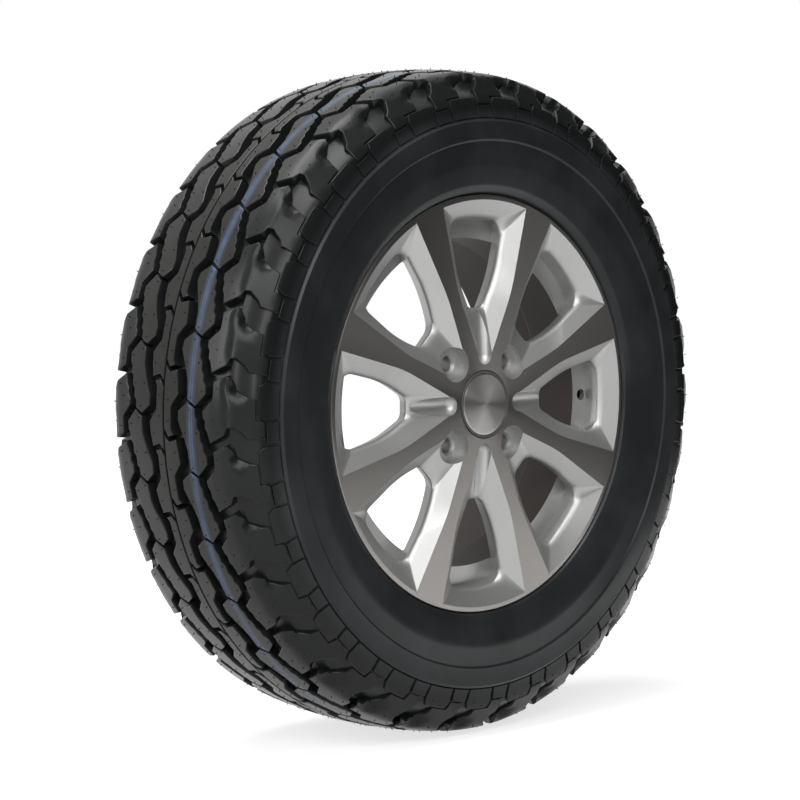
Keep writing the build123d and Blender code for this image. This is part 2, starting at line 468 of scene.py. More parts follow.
@dataclass(frozen=True)
class TurnedMetal:
    """Bare metal with concentric tool marks that draw its highlights out along the radius."""

    name: str
    colour: Colour = (0.28, 0.267, 0.255)
    roughness: float = 0.32
    anisotropic: float = 0.9
    marks_per_metre: float = 2600.0
    mark_height: float = 0.00002
    mark_strength: float = 0.25

    def make(self) -> bpy.types.Material:
        """Build the material, whose marks are a sine of the distance from the axle.

        Returns:
            The material.
        """
        s = Shader(self.name)
        s.set(base_color=self.colour, metallic=1.0, roughness=self.roughness, anisotropic=self.anisotropic)
        s.link(s.place(), s.surface.inputs["Tangent"])
        wave = s.math("SINE", s.math("MULTIPLY", s.radius(), self.marks_per_metre * 2 * pi))
        s.bump(wave, self.mark_strength, self.mark_height)
        return s.material


@dataclass(frozen=True)
class SilverPaint:
    """Metallic silver paint with fine flakes."""

    name: str
    colour: Colour = (0.36, 0.36, 0.355)
    metallic: float = 0.72
    roughness: float = 0.42
    flake_scale: float = 1500.0
    flake_detail: float = 1.0
    flake_share: float = 0.16

    def make(self) -> bpy.types.Material:
        """Build the material.

        Returns:
            The material.
        """
        s = Shader(self.name)
        s.set(metallic=self.metallic, roughness=self.roughness)
        dark = tuple(c * (1 - self.flake_share) for c in self.colour)
        light = tuple(c * (1 + self.flake_share) for c in self.colour)
        flakes = s.noise(self.flake_scale, self.flake_detail)
        s.link(s.mix(flakes, dark, light), s.surface.inputs["Base Color"])
        return s.material


@dataclass(frozen=True)
class EvenColour:
    """One even colour."""

    name: str
    colour: Colour
    roughness: float

    def make(self) -> bpy.types.Material:
        """Build the material.

        Returns:
            The material.
        """
        s = Shader(self.name)
        s.set(base_color=self.colour, roughness=self.roughness)
        return s.material


@dataclass(frozen=True)
class Rubber:
    """Tyre rubber: mottled block tops made lighter, partly as wear and partly as a painted highlight, cloudy
    sidewalls and a coloured line on one block row.
    """

    name: str
    colour: Colour = (0.0075, 0.008, 0.0082)
    # Lighter colour of the raised tread tops: partly wear, partly a painted highlight.
    worn_top_and_highlight: Colour = (0.014, 0.0135, 0.0125)
    side: Colour = (0.014, 0.0157, 0.0165)
    dusty: Colour = (0.025, 0.0275, 0.0285)
    line: Colour = (0.07, 0.10, 0.17)
    roughness: float = 0.27
    specular: float = 0.18
    tread_edge: float = 62.0
    mottle_scale: float = 40.0
    mottle_gain: float = 1.6
    side_from: float = 122.0
    side_fade: float = 10.0
    cloud_scale: float = 14.0
    cloud_from: float = 0.4
    cloud_gain: float = 3.0
    line_at: float = -38.0
    line_half_width: float = 6.5
    streaks_per_metre: float = 900.0
    streak_least: float = 0.5
    streak_scale: float = 60.0
    streak_detail: float = 4.0
    grain_scale: float = 700.0
    grain_detail: float = 2.0
    grain_strength: float = 0.12
    grain_height: float = 0.0002

    def make(self) -> bpy.types.Material:
        """Build the material.

        The UV map holds 1 on a raised top and 0 elsewhere, and the distance across the tyre in metres, so
        the masks follow the tread.

        Returns:
            The material.
        """
        s = Shader(self.name)
        split = s.add("ShaderNodeSeparateXYZ")
        s.link(s.add("ShaderNodeUVMap", uv_map=TREAD_MAP).outputs[0], split.inputs[0])
        on_top = s.math("GREATER_THAN", split.outputs["X"], 0.5)
        across = split.outputs["Y"]
        size = s.math("ABSOLUTE", across)
        on_tread = s.math("LESS_THAN", size, self.tread_edge * MM)
        # Painted highlight and wear: raised tread tops are mixed towards the lighter top colour, broken up
        # by a random mottle.
        mottle = s.math("MULTIPLY", s.noise(self.mottle_scale), self.mottle_gain)
        rubbed_and_highlit = s.math("MULTIPLY", s.math("MULTIPLY", on_top, on_tread), mottle)
        cloud = s.math("SUBTRACT", s.noise(self.cloud_scale), self.cloud_from)
        side = s.mix(s.math("MULTIPLY", cloud, self.cloud_gain), self.side, self.dusty)
        past = s.math("SUBTRACT", size, self.side_from * MM)
        down = s.math("DIVIDE", past, self.side_fade * MM)
        base = s.mix(down, s.mix(rubbed_and_highlit, self.colour, self.worn_top_and_highlight), side)
        s.link(s.mix(self.streaks(s, across, on_top), base, self.line), s.surface.inputs["Base Color"])
        s.set(roughness=self.roughness, specular_ior_level=self.specular)
        s.bump(s.noise(self.grain_scale, self.grain_detail), self.grain_strength, self.grain_height)
        return s.material

    def streaks(self, s: Shader, across: Socket, on_top: Socket) -> Socket:
        """The coloured line's strength.

        It falls evenly from the line's middle to its edges, and fine streaks and noise break it up.

        Args:
            s: the material's shader.
            across: distance across the tyre in metres.
            on_top: 1 on a raised top.

        Returns:
            The strength, 0 off the line.
        """
        off = s.math("ABSOLUTE", s.math("SUBTRACT", across, self.line_at * MM))
        band = s.math("SUBTRACT", 1.0, s.math("DIVIDE", off, self.line_half_width * MM))
        wave = s.math("ABSOLUTE", s.math("SINE", s.math("MULTIPLY", off, self.streaks_per_metre)))
        fine = s.math("MULTIPLY", band, s.math("ADD", wave, self.streak_least))
        streak = s.math("MULTIPLY", fine, s.noise(self.streak_scale, self.streak_detail))
        return s.math("MULTIPLY", s.math("MAXIMUM", streak, 0.0), on_top)


# The tyre


@dataclass
class TyreSurface:
    """The tyre's outer surface: a section turned about the axle, and a way to place points on it.

    The crown falls with the square of the distance across, by crown_drop at crown_reach.  The flank holds
    (radius, y, corner radius) from the shoulder to the bead.  Pitches count from start degrees off the top.
    """

    radius: float = 334.0
    crown_drop: float = 6.3
    crown_reach: float = 80.0
    crown_points: int = 24
    tread_half: float = 76.0
    flank: tuple[tuple[float, float, float], ...] = (
        (326.4, 82.5, 9.0),
        (301.0, 100.5, 14.0),
        (282.0, 105.2, 8.0),
        (279.5, 107.6, 0.9),
        (262.0, 107.8, 0.9),
        (260.2, 106.0, 0.7),
        (240.0, 105.0, 45.0),
        (217.0, 98.6, 20.0),
        (210.5, 95.4, 2.5),
        (207.9, 90.0, 1.0),
    )
    corner_steps: int = 6
    pitches: int = 32
    start: float = 64.8
    points: int = 420
    knots: np.ndarray = field(init=False)
    arc: np.ndarray = field(init=False)
    section: np.ndarray = field(init=False)
    normals: np.ndarray = field(init=False)

    def __post_init__(self) -> None:
        """Work out half of the section, from the middle of the tread to the bead, by arc length."""
        across = np.linspace(0, self.tread_half, self.crown_points)
        crown = np.stack([self.radius - self.crown_drop * (across / self.crown_reach) ** 2, across], -1)
        corners = np.array([(*crown[-1], 0.0), *self.flank])
        run = np.vstack([crown[:-1], rounded_run(corners, self.corner_steps)])
        self.knots = np.r_[0, np.cumsum(np.linalg.norm(np.diff(run, axis=0), axis=1))]
        self.arc = np.linspace(0, self.knots[-1], self.points)
        self.section = np.stack([np.interp(self.arc, self.knots, run[:, k]) for k in range(2)], -1)
        along = np.gradient(self.section, axis=0)
        along /= np.linalg.norm(along, axis=1, keepdims=True)
        self.normals = np.stack([along[:, 1], -along[:, 0]], -1)

    def angle(self, t: np.ndarray) -> np.ndarray:
        """Angles of places round the tyre.

        Args:
            t: pitches round the tyre.

        Returns:
            Angles in radians, anticlockwise from the top seen from the street.
        """
        return np.radians(self.start + t * 360 / self.pitches)

    def place(self, t: np.ndarray, p: np.ndarray, h: np.ndarray) -> np.ndarray:
        """Points on or near the surface.

        A point of the section is moved along its normal by the height and then turned about the axle.

        Args:
            t: pitches round the tyre.
            p: distance across the surface, negative on the street side.
            h: height above the surface.

        Returns:
            Places in millimetres, with one more axis than the arguments.
        """
        size = np.abs(p)
        sign = np.where(p < 0, -1.0, 1.0)
        radius, y = (np.interp(size, self.arc, self.section[:, k]) for k in range(2))
        out, aside = (np.interp(size, self.arc, self.normals[:, k]) for k in range(2))
        radius = radius + h * out
        y = sign * (y + h * aside)
        angle = self.angle(t)
        return np.stack([-radius * np.sin(angle), y, radius * np.cos(angle)], -1)

    def at_radius(self, radius: float) -> float:
        """Distance across the surface at which the sidewall has a radius.

        Args:
            radius: the radius.

        Returns:
            The distance from the middle of the tread.
        """
        order = np.argsort(self.section[:, 0])
        return float(np.interp(radius, self.section[order, 0], self.arc[order]))

    @property
    def pitch(self) -> float:
        """Length of a pitch on the tread, in millimetres."""
        return 2 * pi * self.radius / self.pitches


@dataclass
class Block:
    """A raised block of rubber, drawn as an outline of (t, p) corners and repeated round the tyre.

    Its walls lean out by the draft at their foot, and its top edge is bevelled in two flats that meet at a
    share of the bevel.  A dish is a hollow in its top: the hollow's middle (t, p), its half length in
    pitches, half width and depth.
    """

    INSIDE = 1
    WELD = 1e-4
    SHARPEST = 0.5

    outline: list[tuple[float, float]]
    height: float = 0.0
    depth: float = 10.0
    bevel: float = 1.0
    bevel_share: float = 0.3
    draft: float = 0.9
    spacing: float = 4.0
    dish: tuple[float, float, float, float, float] | None = None

    def boundary(self, pitch: float) -> np.ndarray:
        """The outline in millimetres, with points added along its edges.

        Args:
            pitch: length of a pitch.

        Returns:
            Points, one per row, anticlockwise.
        """
        corners = np.array(self.outline) * (pitch, 1)
        following = np.roll(corners, -1, 0)
        edges = np.linalg.norm(following - corners, axis=1)
        counts = np.maximum(1, np.round(edges / self.spacing)).astype(int)
        index = np.repeat(np.arange(len(corners)), counts)
        step = np.arange(counts.sum()) - np.repeat(np.cumsum(counts) - counts, counts)
        share = (step / counts[index])[:, None]
        points = corners[index] * (1 - share) + following[index] * share
        x, y = points.T
        area = (x * np.roll(y, -1) - np.roll(x, -1) * y).sum()
        return points if area > 0 else points[::-1]

    @classmethod
    def offset(cls, points: np.ndarray, distance: float) -> np.ndarray:
        """Move an outline outwards along its corners' bisectors.

        Each corner moves by the sum of its two edges' normals over 1 plus their product, which keeps the
        edges parallel, with a least divisor that stops a sharp corner from running away.

        Args:
            points: the outline, anticlockwise.
            distance: how far, negative for inwards.

        Returns:
            The moved outline.
        """
        ahead = np.roll(points, -1, 0) - points
        ahead /= np.linalg.norm(ahead, axis=1, keepdims=True)
        out = np.stack([ahead[:, 1], -ahead[:, 0]], -1)
        before = np.roll(out, 1, 0)
        reach = np.maximum(1 + (out * before).sum(1, keepdims=True), cls.SHARPEST)
        return points + distance * (out + before) / reach

    def hollow(self, points: np.ndarray) -> np.ndarray:
        """How far the dish sinks the block's top.

        The depth falls off from the middle as the squared cosine of a quarter turn at the dish's edge.

        Args:
            points: (t, p) places, one per row.

        Returns:
            The depth at each.
        """
        if self.dish is None:
            return np.zeros(len(points))
        t, p, length, width, depth = self.dish
        away = np.hypot((points[:, 0] - t) / length, (points[:, 1] - p) / width)
        return depth * np.cos(np.minimum(away, 1) * pi / 2) ** 2

    def build(self, surface: TyreSurface) -> tuple[np.ndarray, np.ndarray, np.ndarray, list]:
        """One block's points and faces: rings of the outline up its wall, and a triangulated top.

        Args:
            surface: the tyre's surface.

        Returns:
            Pitches, distances across, heights, and faces as vertex numbers.
        """
        edge = self.boundary(surface.pitch)
        bend = -self.bevel_share * self.bevel
        rings = [(self.draft, -self.depth), (0.0, -self.bevel), (bend, bend), (-self.bevel, 0.0)]
        loops = [self.offset(edge, out) for out, _ in rings]
        rim = loops[-1]
        columns, rows = (np.arange(rim[:, k].min(), rim[:, k].max(), 2 * self.spacing) for k in range(2))
        fill = np.stack(np.meshgrid(columns, rows), -1).reshape(-1, 2)
        count = len(edge)
        top = [Vector(point) for point in np.vstack([rim, fill])]
        border = [(k, (k + 1) % count) for k in range(count)]
        made = delaunay_2d_cdt(top, border, [list(range(count))], self.INSIDE, self.WELD)
        places, triangles = made[0], made[2]
        cap = np.array([tuple(point) for point in places])
        flat = np.vstack([*loops, cap])
        heights = np.r_[np.repeat([h for _, h in rings], count), np.zeros(len(cap))] + self.height
        heights[count:] -= self.hollow(flat[count:] / (surface.pitch, 1))
        faces = grid_faces(len(rings), count, close_columns=True).tolist()
        first = len(rings) * count
        faces += [[first + k for k in face] for face in triangles]
        return flat[:, 0] / surface.pitch, flat[:, 1], heights, faces


@dataclass
class Tyre:
    """The tyre: a turned carcass with rows of tread blocks, shoulder blocks, sidewall panels and vent stubs.

    The panel radii are those of the panels' foot, the tall panel's top and the short panel's top.  The
    lining holds (radius, y) from the bead to the crown, and the stub spots are (t, p).
    """

    surface: TyreSurface = field(default_factory=TyreSurface)
    groove_depth: float = 9.5
    floor_edge: float = 85.0
    floor_rise: float = 112.0
    rise_points: int = 8
    panel_radii: tuple[float, float, float] = (283.2, 303.5, 295.5)
    panel_height: float = 0.4
    panel_gap: float = 1.2
    trench: float = 1.6
    trench_ease: float = 1.5
    phase: float = 1.24
    segments: int = 192
    sipe: float = 0.7
    stub_radius: float = 0.5
    stub_height: float = 1.1
    stub_root: float = 0.5
    stub_sides: int = 6
    sharp_angle: float = 40.0
    lining: tuple[tuple[float, float], ...] = (
        (190.2, 82.4), (188.8, 65.5), (227.0, 93.0), (301.0, 93.0), (316.0, 66.0),
    )
    stub_spots: tuple[tuple[float, float], ...] = (
        (0.12, -36), (0.45, -45), (0.85, -52), (0.95, -38), (0.45, -30), (0.75, -15), (1.0, -6), (1.3, -7),
        (0.80, -70), (0.98, -62), (1.25, -66), (0.85, -90), (1.15, -85), (1.42, -72), (0.45, -118),
        (0.85, -118), (1.05, -114),
    )
    panel_foot: float = field(init=False)
    panel_tops: tuple[float, float] = field(init=False)
    vertices: list = field(default_factory=list)
    faces: list = field(default_factory=list)
    uvs: list = field(default_factory=list)
    count: int = 0

    def __post_init__(self) -> None:
        """Find where the panels' foot and their tops lie on the surface."""
        foot, tall, short = (self.surface.at_radius(radius) for radius in self.panel_radii)
        self.panel_foot = foot
        self.panel_tops = (tall, short)

    def add(self, places: np.ndarray, faces: list, tops: np.ndarray, across: np.ndarray) -> None:
        """Keep vertices and faces for the tyre's mesh.

        Args:
            places: vertices, one per row.
            faces: vertex numbers of each face.
            tops: 1 where a vertex is on a raised top, else 0.
            across: distance across the surface of each vertex.
        """
        self.vertices.append(places)
        self.faces += [[self.count + k for k in face] for face in faces]
        self.uvs.append(np.stack([tops, across * MM], -1))
        self.count += len(places)

    def onto(self, side: Side, t: np.ndarray, p: np.ndarray) -> tuple[np.ndarray, np.ndarray]:
        """Take places drawn on the street half to either half, the far one by half a turn about a radius.

        Args:
            side: the half that they go on.
            t: pitches round the tyre.
            p: distance across the surface.

        Returns:
            The pitches and distances there.
        """
        return (t, p) if side is Side.NEAR else (self.phase - t, -p)

    def carcass(self) -> None:
        """The turned body: groove floors under the tread, shoulders, sidewalls, beads and lining.

        The floor lies a groove's depth under the tread and rises to the panels' trench as three times the
        squared share of the way less twice its cube.  The trench ends evenly past the panels' foot.
        """
        rising = np.linspace(self.floor_edge, self.floor_rise, self.rise_points)
        trench_end = self.panel_foot + self.trench_ease
        half = np.unique(np.r_[self.surface.knots, rising, self.panel_foot, trench_end])
        across = np.r_[-half[:0:-1], half]
        size = np.abs(across)
        rise = np.clip((size - self.floor_edge) / (self.floor_rise - self.floor_edge), 0, 1)
        in_trench = np.clip((trench_end - size) / self.trench_ease, 0, 1)
        groove = (self.groove_depth - self.trench) * (1 - rise ** 2 * (3 - 2 * rise))
        t = np.linspace(0, self.surface.pitches, self.segments, endpoint=False)
        grid_t, grid_p = np.meshgrid(t, across, indexing="ij")
        sunk = np.broadcast_to(-self.trench * in_trench - groove, grid_p.shape)
        outer = self.surface.place(grid_t, grid_p, sunk)
        lining = np.array(self.lining)
        inner = np.vstack([lining, lining[::-1] * (1, -1)])
        ring = turn(inner, -self.surface.angle(t)).reshape(len(t), len(inner), 3)
        rows = np.concatenate([outer, ring], 1)
        beads = np.broadcast_to(np.sign(inner[:, 1]) * across[-1], (len(t), len(inner)))
        wide = np.concatenate([grid_p, beads], 1)
        faces = grid_faces(len(t), rows.shape[1], close_rows=True, close_columns=True)
        self.add(rows.reshape(-1, 3), faces.tolist(), np.zeros(wide.size), wide.ravel())

    def repeat(self, block: Block, side: Side, tops: float = 1.0) -> None:
        """Repeat a block round the tyre on one half of the tread.

        Args:
            block: the block, drawn on the street side.
            side: the half that it goes on.
            tops: 1 if its top is a tread top.
        """
        t, p, h, faces = block.build(self.surface)
        t, p = self.onto(side, t, p)
        k = np.arange(self.surface.pitches)[:, None]
        places = self.surface.place(t[None] + k, np.broadcast_to(p, (len(k), len(p))), h[None])
        whole = []
        for size in sorted({len(face) for face in faces}):
            group = np.array([face for face in faces if len(face) == size])
            whole += (group[None] + k[:, :, None] * len(t)).reshape(-1, size).tolist()
        top = np.where(h > block.height - block.bevel / 2, tops, 0.0)
        self.add(places.reshape(-1, 3), whole, np.tile(top, len(k)), np.tile(p, len(k)))

    def tread_blocks(self) -> list[Block]:
        """The street half's blocks: the row beside the middle, the middle row's half and the shoulder.

        Returns:
            The blocks.
        """
        row = Block([
            (0.02, -33), (0.10, -43.2), (0.20, -43.6), (0.25, -46.4), (0.37, -46.6), (0.43, -49.9),
            (0.55, -50.2), (0.61, -53.2), (0.70, -53.4), (0.76, -56.6), (0.89, -57), (1.07, -43.8),
            (0.965, -33.2), (0.72, -32.4), (0.55, -28.9), (0.39, -24), (0.27, -20.4), (0.14, -21.4),
        ])
        middle = Block([
            (0.56, -17.2), (0.73, -19.8), (0.91, -21), (1.09, -10.8), (1.43, -10.8), (1.50, -13.6),
            (1.53, -6.5), (1.42, -self.sipe), (0.50, -self.sipe), (0.60, -6.5),
        ])
        tall, short = (self.panel_gap - top for top in self.panel_tops)
        shoulder = Block([
            (0.70, -65.4), (0.95, -65.6), (1.13, -53.2), (1.22, -53.8), (1.27, -56.2), (1.38, -56.6),
            (1.43, -59.2), (1.585, -62.4), (1.465, -79), (1.36, -82.5), (1.345, -88), (1.44, -97),
            (1.53, -101), (1.56, short), (1.27, short), (1.24, tall), (0.93, tall), (0.90, -101),
            (0.84, -95), (0.80, -91), (0.73, -90), (0.66, -86.5), (0.61, -80),
        ], spacing=3.2, dish=(0.77, -92.0, 0.27, 14.0, 6.0))
        return [row, middle, shoulder]

    def panel_blocks(self) -> list[Block]:
        """The ring of raised panels below the shoulder: a tall one and a short one in each pitch.

        Returns:
            The blocks.
        """
        low = -self.panel_foot
        tall, short = (-top for top in self.panel_tops)
        knee = (low + 2 * tall) / 3
        shape = {"height": self.panel_height, "depth": 3.0, "bevel": 0.6, "draft": 0.3}
        tall_panel = [(0.68, low), (1.22, low), (1.24, knee), (1.18, tall), (0.72, tall), (0.66, knee)]
        short_panel = [(0.275, low), (0.635, low), (0.615, short), (0.295, short)]
        return [Block(outline, **shape) for outline in (tall_panel, short_panel)]

    def stubs(self, side: Side) -> None:
        """Vent stubs left by the mould, a few on every block, each a small prism with a lid.

        Args:
            side: the half of the tread that they are on.
        """
        around = np.linspace(0, 2 * pi, self.stub_sides, endpoint=False)
        ring = np.stack([np.cos(around) / self.surface.pitch, np.sin(around)], -1) * self.stub_radius
        flat = np.array(self.stub_spots)[:, None] + ring[None]
        t, p = (np.stack([flat[..., axis]] * 2, 1) for axis in range(2))
        h = np.broadcast_to(np.array([-self.stub_root, self.stub_height])[None, :, None], t.shape)
        t, p = self.onto(side, t, p)
        k = np.arange(self.surface.pitches)[:, None, None, None]
        across = np.broadcast_to(p, (len(k), *p.shape))
        places = self.surface.place(t[None] + k, across, h[None])
        size = 2 * self.stub_sides
        first = size * np.arange(len(k) * len(self.stub_spots))[:, None]
        walls = grid_faces(2, self.stub_sides, close_columns=True)
        lid = np.arange(self.stub_sides, size)
        faces = (walls[None] + first[:, :, None]).reshape(-1, 4).tolist() + (lid + first).tolist()
        self.add(places.reshape(-1, 3), faces, np.zeros(across.size), across.ravel())

    def build(self) -> bpy.types.Object:
        """Make the tyre's object.

        Returns:
            The object.
        """
        self.carcass()
        for side in Side:
            for block in self.tread_blocks():
                self.repeat(block, side)
            for block in self.panel_blocks():
                self.repeat(block, side, tops=0.0)
            self.stubs(side)
        tyre = make_object("tyre_rubber", np.vstack(self.vertices), self.faces)
        layer = tyre.data.uv_layers.new(name=TREAD_MAP)
        loops = np.empty(len(tyre.data.loops), int)
        tyre.data.loops.foreach_get("vertex_index", loops)
        layer.data.foreach_set("uv", np.vstack(self.uvs)[loops].ravel())
        tyre.data.materials.append(Rubber("tyre_rubber").make())
        smooth(tyre, self.sharp_angle)
        return tyre


# The wheel


@dataclass(frozen=True)
class PocketShape:
    """The inner end of a pocket at its mouth in the wheel's face, at its window and at the window's back.

    A mid is the radius and half angle of the bend in the pocket's side, a tip is the x and half width of its
    inner end, and the end radii are those of the inner end's corners at the mouth, the window and the back.
    """

    mouth_tip: tuple[float, float]
    window_mid: tuple[float, float]
    window_tip: tuple[float, float]
    back_mid: tuple[float, float]
    back_tip: tuple[float, float]
    end_radii: tuple[float, float, float]


class Pocket(Enum):
    """The two kinds of pocket that take turns between the spokes."""

    GROOVE = PocketShape(
        (48.8, 9.0), (131.0, 11.6), (97.0, 9.2), (128.0, 13.4), (90.0, 11.0), (4.0, 8.8, 10.0)
    )
    LUG = PocketShape(
        (47.0, 10.5), (131.0, 12.8), (96.0, 13.0), (126.0, 15.0), (90.0, 15.0), (5.0, 12.0, 14.0)
    )


@dataclass
class WheelCutters:
    """The solids taken out of the turned wheel: pockets, troughs, lug seats and valve hole.

    The face, the spokes' back and the holes' ends are distances from the wheel's middle plane to the street
    side.
    """

    face: float = 93.55
    spokes: int = 8
    spoke_back: float = 62.0
    pocket_depth: float = 13.0
    pocket_overcut: float = 3.0
    mouth_radius: float = 202.8
    mouth_angle: float = 17.0
    mouth_mid: tuple[float, float] = (118.0, 18.9)
    mouth_corner: float = 1.2
    window_radius: float = 184.0
    window_angle: float = 11.6
    window_corner: float = 14.0
    back_angle: float = 13.8
    back_corner: float = 9.0
    bends: tuple[float, float] = (160.0, 150.0)
    steps: int = 9
    rim_steps: int = 14
    ease_steps: int = 5
    ease_from: float = 0.72
    ease_to: float = 0.22
    trough_start: float = 48.8
    trough_end: float = 115.0
    trough_radius: float = 9.3
    trough_depths: tuple[float, float] = (0.3, 4.5)
    trough_sides: int = 32
    nose_start: float = 6.0
    nose_steps: int = 10
    bolt_radius: float = 57.15
    lug_radius: float = 17.25
    lug_overcut: float = 2.0
    lug_seat: float = 81.55
    cone_radius: float = 9.5
    cone_end: float = 78.1
    stud_radius: float = 7.5
    hole_end: float = 50.0
    hole_segments: int = 48
    valve_place: float = 177.5
    valve_angle: float = 90.0
    valve_radius: float = 5.75
    valve_start: float = 70.0

    def loop(
        self,
        outer: float,
        angle: float,
        mid: tuple[float, float],
        tip: tuple[float, float],
        radii: tuple[float, float, float],
    ) -> np.ndarray:
        """A pocket's outline in a plane square to the axle, x out along its middle.

        One side, with its three corners rounded, is mirrored, and an arc about the axle closes it outside.

        Args:
            outer: radius of its outer edge.
            angle: half the angle of its outer edge, in degrees.
            mid: radius and half angle of the bend in its side.
            tip: x and half width of its inner end.
            radii: radius at the outer corner, the bend and the inner end's corner.

        Returns:
            The outline's points, one per row.
        """
        corner = polar(outer, angle)
        bend = polar(*mid)
        end = np.array(tip)
        tangent = np.array([sin(radians(angle)), -cos(radians(angle))])
        points = np.stack([corner, bend, end])
        before = np.stack([tangent, corner - bend, bend - end])
        after = np.stack([bend - corner, end - bend, np.array([0.0, -1.0])])
        half = corner_arcs(points, before, after, np.array(radii), self.steps)
        reach = np.arctan2(half[0, 1], half[0, 0])
        sweep = np.linspace(-reach, reach, self.rim_steps)[1:-1, None]
        rim = np.hypot(*half[0]) * np.hstack([np.cos(sweep), np.sin(sweep)])
        return np.vstack([half, half[::-1] * (1, -1), rim])

    def pocket(self, kind: Pocket, degrees: float) -> Solid:
        """The cutter for one pocket.

        The edge between the sloping wall and the window is eased by a curve that starts on the slope, is
        drawn towards the edge and ends on the window's wall: (1 - k) squared of the start, 2k(1 - k) of the
        edge and k squared of the end.

        Args:
            kind: which pocket.
            degrees: its place, clockwise from the top seen from the street.

        Returns:
            Vertices and faces.
        """
        shape = kind.value
        wide, tight = self.bends
        mouth_end, window_end, back_end = shape.end_radii
        mouth = self.loop(self.mouth_radius, self.mouth_angle, self.mouth_mid, shape.mouth_tip,
                          (self.mouth_corner, wide, mouth_end))
        window = self.loop(self.window_radius, self.window_angle, shape.window_mid, shape.window_tip,
                           (self.window_corner, tight, window_end))
        back = self.loop(self.window_radius, self.back_angle, shape.back_mid, shape.back_tip,
                         (self.back_corner, tight, back_end))
        floor = self.pocket_depth - self.face
        wall = -self.spoke_back - floor
        start = (mouth + (window - mouth) * self.ease_from, -self.face + self.pocket_depth * self.ease_from)
        end = (window + (back - window) * self.ease_to, floor + wall * self.ease_to)
        eased = [
            tuple((1 - k) ** 2 * a + 2 * k * (1 - k) * b + k ** 2 * c
                  for a, b, c in zip(start, (window, floor), end))
            for k in np.linspace(0, 1, self.ease_steps)
        ]
        top = -self.face - self.pocket_overcut
        loops = [(mouth, top), (mouth, -self.face), *eased, (back, -self.spoke_back)]
        radial, lateral = arms(degrees)
        rows = [flat[:, :1] * radial + flat[:, 1:] * lateral + y * AXLE for flat, y in loops]
        return np.vstack(rows), tube_faces(len(loops), len(mouth))

    def turned(self, profile: list[tuple[float, float]], place: float, degrees: float) -> Solid:
        """A round cutter with its axis along the axle's direction.

        Args:
            profile: (radius, y) points, open.
            place: distance of its axis from the axle.
            degrees: its place, clockwise from the top seen from the street.

        Returns:
            Vertices and faces.
        """
        vertices, faces = spun_solid(np.array(profile), self.hole_segments)
        radial, _ = arms(degrees)
        return vertices + place * radial, faces

    def trough(self, degrees: float) -> Solid:
        """A round-nosed trough that runs out from the hub to a window, as a ball-nosed cutter leaves it.

        Circles are strung along a line that sinks evenly: the nose's grow with the sine of the angle from
        its tip, and the last is full.

        Args:
            degrees: its place, clockwise from the top seen from the street.

        Returns:
            Vertices and faces.
        """
        nose = np.radians(np.linspace(self.nose_start, 90, self.nose_steps))
        along = np.r_[self.trough_start - self.trough_radius * np.cos(nose), self.trough_end]
        radius = self.trough_radius * np.r_[np.sin(nose), 1.0]
        share = (along - self.trough_start) / (self.trough_end - self.trough_start)
        depth = self.trough_depths[0] + share * (self.trough_depths[1] - self.trough_depths[0])
        around = np.linspace(0, 2 * pi, self.trough_sides, endpoint=False)[None, :]
        aside = radius[:, None] * np.cos(around)
        y = depth[:, None] + radius[:, None] * np.sin(around) - self.face
        radial, lateral = arms(degrees)
        places = along[:, None, None] * radial + aside[..., None] * lateral + y[..., None] * AXLE
        return places.reshape(-1, 3), tube_faces(len(along), self.trough_sides)

    def build(self) -> list[bpy.types.Object]:
        """Make the cutters, one object for each set that doesn't touch itself.

        Returns:
            The objects.
        """
        step = 360.0 / self.spokes
        pairs = range(self.spokes // len(Pocket))
        pockets = [self.pocket(kind, step * (2 * k + j)) for k in pairs for j, kind in enumerate(Pocket)]
        lug = [
            (self.lug_radius, -self.face - self.lug_overcut),
            (self.lug_radius, -self.lug_seat),
            (self.cone_radius, -self.lug_seat),
            (self.stud_radius, -self.cone_end),
            (self.stud_radius, -self.hole_end),
        ]
        lugs = [self.turned(lug, self.bolt_radius, step * (2 * k + 1)) for k in pairs]
        troughs = [self.trough(step * 2 * k) for k in pairs]
        hole = [(self.valve_radius, -self.valve_start), (self.valve_radius, -self.hole_end)]
        valve = self.turned(hole, self.valve_place, self.valve_angle)
        return [joined("pockets", pockets), joined("lug_seats", lugs + troughs + [valve])]


class WheelFinishAndShade(IntEnum):
    """The wheel's finishes and its painted shade, numbered as its material slots."""

    PAINT = 0
    TURNED = 1
    # Painted shade: a near-black brown on the barrel's inside and the spokes' backs.
    PAINTED_SHADE = 2


